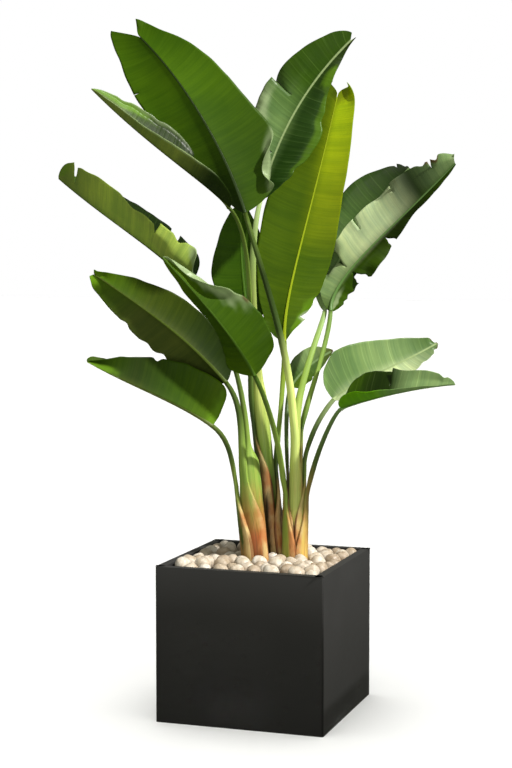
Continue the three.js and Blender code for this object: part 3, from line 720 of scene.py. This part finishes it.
def planter_material():
    """Matte charcoal, with a fine sandy grain and the slightest unevenness."""
    material, tree = new_material("planter")
    place = object_place(tree)
    grain = noise_at(tree, place, 900.0, 2.0, 0.6)
    clouds = noise_at(tree, place, 7.0, 4.0, 0.55)
    colour = mixed(tree, ramp(tree, clouds, 0.35, 0.65), *CHARCOAL)
    colour = mixed(tree, ramp(tree, grain, 0.60, 0.75), colour, CHARCOAL_GRAIN)
    relief = bump(tree, grain, 0.20, 0.0004)
    paint(tree, colour, ramp(tree, clouds, 0.3, 0.7, 0.60, 0.70), relief)
    return material


def soil_material():
    material, tree = new_material("soil")
    crumbs = noise_at(tree, object_place(tree), 160.0, 5.0, 0.7)
    colour = mixed(tree, ramp(tree, crumbs, 0.35, 0.65), *EARTH)
    paint(tree, colour, 0.95, bump(tree, crumbs, 0.8, 0.003))
    return material


def floor_material():
    material, tree = new_material("pale_floor")
    shader = tree.nodes["Principled BSDF"]
    fill_inputs(tree, shader, {"Base Color": FLOOR_COLOUR, "Roughness": 0.9})
    return material


# ---------- planter ----------
def rounded(mesh, edges, radius, steps):
    bmesh.ops.bevel(mesh, geom=edges, offset=radius, segments=steps, profile=0.5,
                    affect="EDGES", material=-1)


def planter():
    low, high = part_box("planter")
    width, height = (high.x - low.x) / MM, high.z / MM
    mesh = bmesh.new()
    bmesh.ops.create_cube(mesh, size=1)
    bmesh.ops.scale(mesh, vec=(width, width, height), verts=mesh.verts)
    bmesh.ops.translate(mesh, vec=(0, 0, height / 2), verts=mesh.verts)
    upright = [e for e in mesh.edges if abs(e.verts[0].co.z - e.verts[1].co.z) > height / 2]
    rounded(mesh, upright, POT_CORNER, CORNER_STEPS)
    top = [f for f in mesh.faces if f.normal.z > 0.9]
    bmesh.ops.inset_region(mesh, faces=top, thickness=POT_WALL, use_even_offset=True)
    mouth = bmesh.ops.extrude_discrete_faces(mesh, faces=top)["faces"]
    depth = height - POT_FLOOR
    bmesh.ops.translate(mesh, vec=(0, 0, -depth), verts=[v for f in mouth for v in f.verts])
    rims = [e for e in mesh.edges if all(abs(v.co.z - height) < 1e-3 for v in e.verts)
            and any(abs(f.normal.z) < 0.5 for f in e.link_faces)]
    rounded(mesh, rims, POT_EDGE, EDGE_STEPS)
    piece = finished_piece("planter_body", mesh, [planter_material()], ["planter"])
    piece.modifiers.new("even_shading", "WEIGHTED_NORMAL").keep_sharp = True


# ---------- clumps ----------
def clump_axis(clump, height):
    foot, lean = CLUMPS[clump]["foot"], CLUMPS[clump]["lean"]
    return Vector((foot[0] + lean[0] * height, foot[1] + lean[1] * height, height))


def add_sheath_circles():
    """Gives each leaf the circles that bound its sheath, as (centre, radius) from the axis."""
    outermost = {}
    for leaf in LEAVES:
        clump = CLUMPS[leaf["clump"]]
        inner = outermost.get(leaf["clump"])
        leaf["inner"] = inner
        if inner is None:
            leaf["outer"] = (Vector((0, 0, 0)), clump["core"])
        else:
            centre = inner[0] + direction(leaf["stalk"]["facing"]) * clump["ring"]
            leaf["outer"] = (centre, inner[1] + clump["ring"])
        outermost[leaf["clump"]] = leaf["outer"]
    return outermost


OUTERMOST = add_sheath_circles()


# ---------- pebbles ----------
def scatter(i, stride):
    """An even spread of numbers between 0 and 1 for stone i."""
    return (0.5 + i * stride) % 1


def clump_discs():
    discs = []
    for clump, (centre, radius) in OUTERMOST.items():
        place = TURN_PLANT @ (clump_axis(clump, BED_TOP) + centre)
        discs.append({"x": place.x, "y": place.y, "radius": radius + CLUMP_CLEARANCE,
                      "fixed": True})
    return discs


def pebble_discs(side):
    """The stones' places: evenly scattered, then pushed apart until none overlap."""
    stones = []
    for i in range(PEBBLE_COUNT):
        stones.append({
            "x": (scatter(i, X_STRIDE) - 0.5) * 2 * side,
            "y": (scatter(i, Y_STRIDE) - 0.5) * 2 * side,
            "radius": lerp(*PEBBLE_RADIUS, scatter(i, SIZE_STRIDE)),
            "fixed": False,
        })
    discs = clump_discs() + stones
    for _ in range(SETTLING_PASSES):
        for a in stones:
            for b in discs:
                if a is b:
                    continue
                dx, dy = a["x"] - b["x"], a["y"] - b["y"]
                apart = math.hypot(dx, dy)
                push = a["radius"] + b["radius"] + PEBBLE_CLEARANCE - apart
                if push <= 0:
                    continue
                share = 1 if b["fixed"] else 0.5
                dx, dy = dx / apart * push * share, dy / apart * push * share
                a["x"] += dx
                a["y"] += dy
                if not b["fixed"]:
                    b["x"] -= dx
                    b["y"] -= dy
        for stone in stones:
            limit = side - stone["radius"]
            stone["x"] = min(max(stone["x"], -limit), limit)
            stone["y"] = min(max(stone["y"], -limit), limit)
    return sorted(stones, key=lambda stone: stone["y"])


def lumps_at(place, drift, closeness, height):
    return height * noise.noise(place * closeness + drift)


def add_stone(mesh, place, size, seed, detail, tones):
    """Adds one water-worn stone: a lumpy flattened ball with a tint of its own."""
    made = bmesh.ops.create_icosphere(mesh, subdivisions=detail, radius=1)["verts"]
    tint = linear(tones[seed % len(tones)])
    tone = mesh.verts.layers.float_color["tone"]
    drift = Vector([seed * stride for stride in LUMP_STRIDES])
    tilt = Matrix.Rotation(STONE_TILT * math.sin(seed * TILT_STRIDE), 3, "X")
    turn = Matrix.Rotation(seed, 3, "Z") @ tilt
    for vert in made:
        lump = 1 + lumps_at(vert.co, drift, *LARGE_LUMPS) + lumps_at(vert.co, drift, *SMALL_LUMPS)
        flat = Vector((vert.co.x * size[0], vert.co.y * size[1], vert.co.z * size[2]))
        vert.co = turn @ (flat * lump) + place
        vert[tone] = (*tint, 1)


def new_stones():
    mesh = bmesh.new()
    mesh.verts.layers.float_color.new("tone")
    return mesh


def add_fillers(bed, side):
    """Small stones that fill the gaps between the pebbles, toned dark as painted shade in those gaps."""
    chance = random.Random(FILLER_SEED)
    for i in range(FILLER_COUNT):
        radius = chance.uniform(*FILLER_RADIUS)
        reach = side - radius
        place = Vector((chance.uniform(-reach, reach), chance.uniform(-reach, reach),
                        SOIL_TOP + chance.uniform(*FILLER_RISE)))
        clear = all(math.hypot(place.x - d["x"], place.y - d["y"]) > d["radius"] + radius
                    for d in clump_discs())
        if clear:
            size = [radius * part for part in FILLER_SHAPE]
            add_stone(bed, place, size, i, FILLER_DETAIL, SHADED_FILLER_TONES)


def pebbles():
    low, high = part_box("planter")
    side = (high.x - low.x) / MM / 2 - POT_WALL - WALL_CLEARANCE
    material = pebble_material()
    bed = new_stones()
    for i, stone in enumerate(pebble_discs(side)):
        loose = i < LOOSE_PEBBLES
        size = [stone["radius"] * part for part in PEBBLE_SHAPE]
        sink = -GAP if loose else PEBBLE_SINK
        place = Vector((stone["x"], stone["y"], BED_TOP - sink + size[2] * PEBBLE_SEATING))
        mesh = new_stones() if loose else bed
        add_stone(mesh, place, size, i, PEBBLE_DETAIL, PEBBLE_TONES)
        if loose:
            number = f"{i + 1:02d}"
            finished_piece(f"stone_{number}", mesh, [material], [f"pebble_{number}"])
    add_fillers(bed, side)
    finished_piece("stones_beneath", bed, [material], ["pebble_bed"])


# ---------- blades ----------
def side_of(across):
    return "left" if across < 0 else "right"


def rib_points(leaf):
    return [Vector(point) for point in leaf["rib"]]


def half_width(leaf, side_name, along, ragged):
    width = spline(leaf[side_name]["widths"], along)
    for side, place, reach, depth in leaf["nicks"]:
        if side == side_name:
            width -= depth * hill(along, place, reach)
    if ragged:
        width *= 1 + RAGGEDNESS * waver(along * RAGGED_PER_BLADE, width * 0.01, len(side_name))
    return max(width, NARROWEST)


def half_reach(side, s, out, folds):
    """Where the half blade has got to, for each mm of its width, after the fraction out of it."""
    near = lerp(*side["near"], s)
    edge = lerp(*side["edge"], s)
    across = behind = 0
    for i in range(REACH_STEPS):
        t = out * (i + 0.5) / REACH_STEPS
        angle = lerp(near, edge, t)
        for fold, start in folds:
            angle += fold * smooth(t, start, lerp(start, 1, FOLD_ROUNDNESS))
        across += math.cos(math.radians(angle)) * out / REACH_STEPS
        behind += math.sin(math.radians(angle)) * out / REACH_STEPS
    return across, behind


def tears_and_curls(leaf, side_name, along, out, row_side):
    """The extra folds here, each as (angle, where across it starts), and the shift along."""
    folds = []
    shift = 0
    for side, place, start, gap, below, above in leaf["tears"]:
        if side != side_name:
            continue
        place = round(place * BLADE_ROWS) / BLADE_ROWS
        offset = along - place
        way = row_side if abs(offset) < ON_ROW else math.copysign(1, offset)
        reach = math.exp(-abs(offset) / TEAR_REACH)
        ends_apart = 1 + TEAR_UNEVENNESS * waver(out * TEAR_WAVES, place * TEAR_STRIDE, way)
        shift += way * gap / 2 * reach * smooth(out, start, 1) * ends_apart
        folds.append(((above if way > 0 else below) * reach, start))
    for side, place, reach, start, angle in leaf["curls"]:
        if side == side_name:
            folds.append((angle * hill(along, place, reach), start))
    return [fold for fold in folds if abs(fold[0]) > SMALLEST_FOLD], shift


def blade_point(leaf, rib, along, across, row_side=1, ragged=True):
    s = up_rib(along)
    growth = bezier_growth(rib, s)
    to_left = Vector((-growth.z, 0, growth.x)).normalized()
    to_back = square_to(growth, Vector((0, 1, 0)))
    side_name = side_of(across)
    side, sign = leaf[side_name], 1 if across < 0 else -1
    out = abs(across)
    width = half_width(leaf, side_name, along, ragged)
    folds, shift = tears_and_curls(leaf, side_name, along, out, row_side)
    reach_across, reach_back = half_reach(side, s, out, folds)
    past_base = side["ends"][0] * (1 - s) ** END_SHARPNESS * width / HEEL_WIDTH
    past_tip = side["ends"][1] * s ** END_SHARPNESS
    onward = (BLADE_SWEEP * width * out ** 2 + past_tip * out ** side["tip_power"]
              - past_base * out + shift)
    return (bezier(rib, s) + to_left * (sign * width * reach_across)
            + to_back * (width * reach_back) + growth * onward)


def ripple(leaf, out_mm, up_mm, out, along):
    """How far the blade waves out of its own surface: little by the rib, more at the margin."""
    seed = sum(map(ord, leaf["name"])) * LEAF_STRIDE + (HALF_STRIDE if out_mm < 0 else 0)
    long_wave = waver(up_mm / LONG_WAVE, seed, 0)
    short_wave = waver(up_mm / SHORT_WAVE, out_mm / WAVE_WIDTH, seed)
    fine = waver(up_mm / FINE_WAVE, out_mm / WAVE_WIDTH, seed)
    fades = smooth(along, 0, STILL_ENDS) * smooth(1 - along, 0, STILL_ENDS)
    return fades * (leaf["wave"] * out ** 1.5 * (LONG_HEIGHT * long_wave + SHORT_HEIGHT * short_wave)
                    + FINE_HEIGHT * out * fine)


def blade_tone(leaf, s, across):
    """Each half has its own tones, which run into the other half's beside the rib."""
    left, right = (blended_tone(leaf[side]["tones"], s) for side in ("left", "right"))
    return left.lerp(right, smooth(across, -BLEND_WIDTH, BLEND_WIDTH))


def mark_strengths(leaf, along, across):
    found = {"glow": 0, "pale": 0, "brown": 0, "dark": 0}
    for kind, at_along, at_across, reach_along, reach_across, strength in leaf["marks"]:
        far = math.hypot((along - at_along) / reach_along, (across - at_across) / reach_across)
        rough = MARK_UNEVENNESS * waver(along * MARK_WAVES_ALONG, across * MARK_WAVES_ACROSS,
                                        at_along * MARK_STRIDE)
        here = strength * smooth(MARK_EDGE - far + rough, 0, MARK_FADE)
        found[kind] = max(found[kind], here)
    return found.values()


def row_sides(mesh):
    """For each vertex, 1 where its faces lie above its row of the grid, and -1 below."""
    sides = {}
    for vert in mesh.verts:
        faces = vert.link_faces
        middle = sum(f.calc_center_median().y for f in faces) / len(faces)
        sides[vert] = 1 if middle >= vert.co.y else -1
    return sides


def split_tears(mesh, leaf):
    for side, place, start, *_ in leaf["tears"]:
        row = 2 * round(place * BLADE_ROWS) / BLADE_ROWS - 1
        sign = -1 if side == "left" else 1
        edges = [e for e in mesh.edges if all(
            abs(v.co.y - row) < ON_ROW and sign * v.co.x > start - ON_ROW for v in e.verts)]
        bmesh.ops.split_edges(mesh, edges=edges)


def blade(leaf, upper, under):
    rib = rib_points(leaf)
    length = bezier_length(rib)
    mesh = bmesh.new()
    bmesh.ops.create_grid(mesh, x_segments=BLADE_COLUMNS, y_segments=BLADE_ROWS, size=1)
    split_tears(mesh, leaf)
    colours = mesh.verts.layers.float_color
    tone, rib_tone, marks = [colours.new(name) for name in ("tone", "rib_tone", "marks")]
    veins = mesh.loops.layers.uv.new("veins")
    sides = row_sides(mesh)
    of_rib = (*linear(TONES[leaf["rib_tone"]]), 1)
    ripples = {}
    for vert in mesh.verts:
        along, across = (vert.co.y + 1) / 2, vert.co.x
        s = up_rib(along)
        glow, pale, brown, dark = mark_strengths(leaf, along, across)
        # A dark mark takes tone away as painted shade.
        vert[tone] = (*(blade_tone(leaf, s, across) * (1 - dark)), 1)
        vert[rib_tone] = of_rib
        vert[marks] = (glow, pale, brown, 1)
        out_mm = across * half_width(leaf, side_of(across), along, False)
        for loop in vert.link_loops:
            loop[veins].uv = (out_mm * MM, s * length * MM)
        ripples[vert] = ripple(leaf, out_mm, s * length, abs(across), along)
        vert.co = blade_point(leaf, rib, along, across, sides[vert])
    mesh.normal_update()
    for vert, height in ripples.items():
        vert.co += vert.normal * height
    faces = [upper, under] if leaf["keel"] > 0 else [under, upper]
    piece = finished_piece(f"leaf_{leaf['name']}", mesh, faces,
                           [f"blade_{leaf['name']}"], in_plant=True)
    shell = piece.modifiers.new("thickness", "SOLIDIFY")
    shell.thickness = BLADE_THICKNESS * MM
    shell.offset = -1
    shell.material_offset = 1


# ---------- stalks ----------
def arc(circle, start, end, clearance):
    centre, radius = circle
    return [centre + direction(lerp(start, end, i / ARC_STEPS)) * (radius + clearance)
            for i in range(ARC_STEPS + 1)]


def sheath_section(leaf, wrap):
    """A crescent between this stalk's circle and the one inside it, or the whole circle."""
    facing = leaf["stalk"]["facing"]
    outside = arc(leaf["outer"], facing - wrap, facing + wrap, -GAP / 2)
    if leaf["inner"]:
        inside = arc(leaf["inner"], facing + wrap, facing - wrap, SHEATH_CLEARANCE - GAP / 2)
    else:
        inside = arc(leaf["outer"], facing + wrap + MARGIN_ANGLE,
                     facing - wrap + 360 - MARGIN_ANGLE, -GAP / 2)
    return outside + inside


def petiole_section(girth, channel):
    """Round outside, with a shallow channel on its inner side; its outside faces x."""
    reach = 90 - MARGIN_ANGLE / 2
    round_stalk = (Vector((0, 0, 0)), girth)
    inside = arc(round_stalk, 180 - reach, 180 + reach, 0)
    for point in inside:
        point.x *= 1 - channel
    return arc(round_stalk, -reach, reach, 0) + inside


def stalk_route(leaf):
    shape = leaf["stalk"]
    out = direction(shape["facing"])
    middle = leaf["inner"][0].dot(out) + leaf["outer"][1] if leaf["inner"] else 0
    start = clump_axis(leaf["clump"], shape["leaves"]) + out * middle
    upward = (clump_axis(leaf["clump"], 1) - clump_axis(leaf["clump"], 0)).normalized()
    rib = rib_points(leaf)
    onward = (rib[1] - rib[0]).normalized()
    return [start, start + upward * shape["rise"], rib[0] - onward * shape["turn"], rib[0]]


def underside(leaf, rib, along):
    """The way the blade's underside faces at the midrib, square to it."""
    along = min(max(along, FACING_LIMITS[0]), FACING_LIMITS[1])
    before = blade_point(leaf, rib, along, -BESIDE_RIB, ragged=False)
    after = blade_point(leaf, rib, along, BESIDE_RIB, ragged=False)
    return bezier_growth(rib, up_rib(along)).cross(after - before).normalized() * leaf["keel"]


def sheath_rows(leaf):
    shape = leaf["stalk"]
    radius = leaf["outer"][1]
    narrow = math.degrees(math.asin(shape["girth"] / radius)) if leaf["inner"] else shape["wrap"]
    rows = []
    for i in range(SHEATH_STEPS + 1):
        height = lerp(SHEATH_FOOT, shape["leaves"], i / SHEATH_STEPS)
        taper = smooth(height, shape["leaves"] - TAPER_LENGTH, shape["leaves"])
        wrap = lerp(shape["wrap"], narrow, taper)
        axis = clump_axis(leaf["clump"], height)
        rows.append(([axis + p for p in sheath_section(leaf, wrap)], (1 - taper, 0)))
    return rows


def petiole_rows(leaf, last_of_sheath):
    """From the sheath's last section to a round one, turning as the blade's base lies."""
    shape = leaf["stalk"]
    route = stalk_route(leaf)
    length = bezier_length(route)
    turn_back = Matrix.Rotation(-math.radians(shape["facing"]), 4, "Z")
    opening = [turn_back @ (p - route[0]) for p in last_of_sheath]
    out = direction(shape["facing"])
    rib = rib_points(leaf)
    onward = bezier_growth(rib, 0)
    face_last = square_to(onward, out)
    keel = square_to(onward, underside(leaf, rib, 0))
    twist = math.atan2(face_last.cross(keel).dot(onward), face_last.dot(keel))
    rows = []
    for i in range(1, PETIOLE_STEPS + 1):
        t = i / PETIOLE_STEPS
        growth = bezier_growth(route, t)
        face = square_to(growth, out)
        face = Matrix.Rotation(twist * smooth(t, TWIST_START, 1), 3, growth) @ face
        side = growth.cross(face)
        rounding = smooth(t * length, 0, ROUNDING_LENGTH)
        section = petiole_section(lerp(shape["girth"], PETIOLE_TOP, t), PETIOLE_CHANNEL)
        points = []
        for fold, p in zip(opening, section):
            q = fold.lerp(p, rounding)
            points.append(bezier(route, t) + face * q.x + side * q.y)
        rows.append((points, (0, smooth(t, RIB_COLOUR_START, 1.0) * RIB_COLOUR_BELOW_BLADE)))
    return rows


def midrib_rows(leaf):
    rib = rib_points(leaf)
    rows = []
    for i in range(1, RIB_STEPS + 1):
        along = i / RIB_STEPS
        s = up_rib(along)
        growth = bezier_growth(rib, s)
        face = square_to(growth, underside(leaf, rib, along))
        side = growth.cross(face)
        girth = lerp(PETIOLE_TOP, RIB_TIP, s ** RIB_TAPER)
        stands_out = lerp(1, RIB_STANDS_OUT, smooth(along, 0, RIB_SETTLED))
        middle = bezier(rib, s) + face * (girth * RIB_SEATING)
        points = [middle + face * (p.x * stands_out) + side * p.y
                  for p in petiole_section(girth, 0)]
        rows.append((points, (0, 1)))
    return rows


def leaf_stalk(leaf, material):
    """One skin from the foot of the sheath to the tip of the midrib. Each row of it is (points,
    kind), where kind is how much of a sheath and how much of a midrib it is."""
    rows = sheath_rows(leaf)
    rows += petiole_rows(leaf, rows[-1][0]) + midrib_rows(leaf)
    count = len(rows[0][0])
    mesh = bmesh.new()
    bmesh.ops.create_grid(mesh, x_segments=count, y_segments=len(rows) - 1, size=1)
    colours = mesh.verts.layers.float_color
    marks, tone, rib_tone = [colours.new(name) for name in ("marks", "tone", "rib_tone")]
    fibres = mesh.loops.layers.uv.new("fibres")
    of_rib = (*linear(TONES[leaf["rib_tone"]]), 1)
    for vert in mesh.verts:
        column = round((vert.co.x + 1) / 2 * count)
        row = round((vert.co.y + 1) / 2 * (len(rows) - 1))
        points, (sheath, midrib) = rows[row]
        for loop in vert.link_loops:
            loop[fibres].uv = (column / count, row / len(rows))
        place = (column % count) % (ARC_STEPS + 1) / ARC_STEPS
        edge = abs(2 * place - 1) if leaf["inner"] else 0
        vert[marks] = (sheath ** DRIED_UPWARD * edge ** DRIED_INWARD, midrib, 0, 1)
        up = row / (SHEATH_STEPS + PETIOLE_STEPS)
        vert[tone] = (*blended_tone(leaf["stem_tones"], up), 1)
        vert[rib_tone] = of_rib
        vert.co = points[column % count]
    bmesh.ops.remove_doubles(mesh, verts=mesh.verts, dist=1e-4)
    bmesh.ops.holes_fill(mesh, edges=[e for e in mesh.edges if e.is_boundary], sides=0)
    bmesh.ops.recalc_face_normals(mesh, faces=mesh.faces)
    finished_piece(f"stem_{leaf['name']}", mesh, [material],
                   [f"stalk_{leaf['name']}"], in_plant=True)


# ---------- studio ----------
def floor():
    """A floor that only the camera sees, so that it throws no light up at the plant."""
    mesh = bmesh.new()
    bmesh.ops.create_grid(mesh, x_segments=1, y_segments=1, size=FLOOR_HALF_WIDTH)
    ground = new_object("floor", mesh, [floor_material()])
    ground.visible_diffuse = False
    ground.visible_glossy = False
    ground.visible_transmission = False
    return ground


def aimed_light(name, kind, towards, power, colour):
    lamp = bpy.data.lights.new(name, kind)
    lamp.energy = power
    lamp.color = colour
    light = bpy.data.objects.new(name, lamp)
    light.rotation_euler = towards.to_track_quat("-Z", "Y").to_euler()
    bpy.context.scene.collection.objects.link(light)
    return light


def sunlight(name, towards, spread, power, colour, ground, state):
    """The light reaches nothing but the ground (INCLUDE), or everything but it (EXCLUDE)."""
    light = aimed_light(name, "SUN", towards, power, colour)
    light.data.angle = math.radians(spread)
    group = bpy.data.collections.new(f"{name}_receivers")
    group.objects.link(ground)
    group.collection_objects[0].light_linking.link_state = state
    light.light_linking.receiver_collection = group


def pale_surroundings():
    """White behind the plant, and a dim fill on it, so that its shaded sides stay deep."""
    world = bpy.data.worlds.new("pale_studio")
    world.use_nodes = True
    tree = world.node_tree
    seen = node(tree, "LightPath").outputs["Is Camera Ray"]
    height = height_of(tree, node(tree, "TexCoord").outputs["Generated"])
    fill = ramp(tree, height, -0.3, 0.5, LOWER_FILL, UPPER_FILL)
    strength = node(tree, "Mix", {0: seen, 2: fill, 3: 1.0}, data_type="FLOAT").outputs[0]
    fill_inputs(tree, tree.nodes["Background"], {
        "Strength": strength, "Color": mixed(tree, seen, WORLD_TINT, WHITE)})
    bpy.context.scene.world = world


def studio():
    ground = floor()
    pale_surroundings()
    sunlight("key", TURN_PLANT @ KEY_TOWARDS, KEY_SPREAD, KEY_POWER, KEY_COLOUR, ground, "EXCLUDE")
    down = Vector((0, 0, -1))
    sunlight("overhead", down, FLOOR_SPREAD, FLOOR_POWER, WHITE, ground, "INCLUDE")
    place = TURN_PLANT @ FILL_PLACE
    fill = aimed_light("fill", "AREA", FILL_TARGET - place, FILL_POWER, FILL_COLOUR)
    fill.location = place
    fill.data.shape = "DISK"
    fill.data.size = FILL_SIZE


def camera():
    lens = bpy.data.cameras.new("camera")
    lens.lens = CAMERA_LENS
    lens.sensor_fit = "VERTICAL"
    lens.sensor_height = SENSOR_HEIGHT
    back = Vector((math.sin(PLANT_TURN) * math.cos(CAMERA_ELEVATION),
                   -math.cos(PLANT_TURN) * math.cos(CAMERA_ELEVATION),
                   math.sin(CAMERA_ELEVATION)))
    viewer = bpy.data.objects.new("camera", lens)
    viewer.location = CAMERA_TARGET + back * CAMERA_DISTANCE
    viewer.rotation_euler = (math.pi / 2 - CAMERA_ELEVATION, 0, PLANT_TURN)
    bpy.context.scene.collection.objects.link(viewer)
    bpy.context.scene.camera = viewer


# ---------- the object ----------
planter()
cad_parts["soil"].data.materials.clear()
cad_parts["soil"].data.materials.append(soil_material())
pebbles()
stems = stalk_material()
upper_face = blade_material("blade_upper", 0.36, 0.26, 0.45, 0.45)
under_face = blade_material("blade_under", 0.50, 0.14, 0.25, 0.04)
for leaf in LEAVES:
    leaf_stalk(leaf, stems)
    blade(leaf, upper_face, under_face)
studio()
camera()
bpy.context.scene.view_settings.view_transform = "Standard"
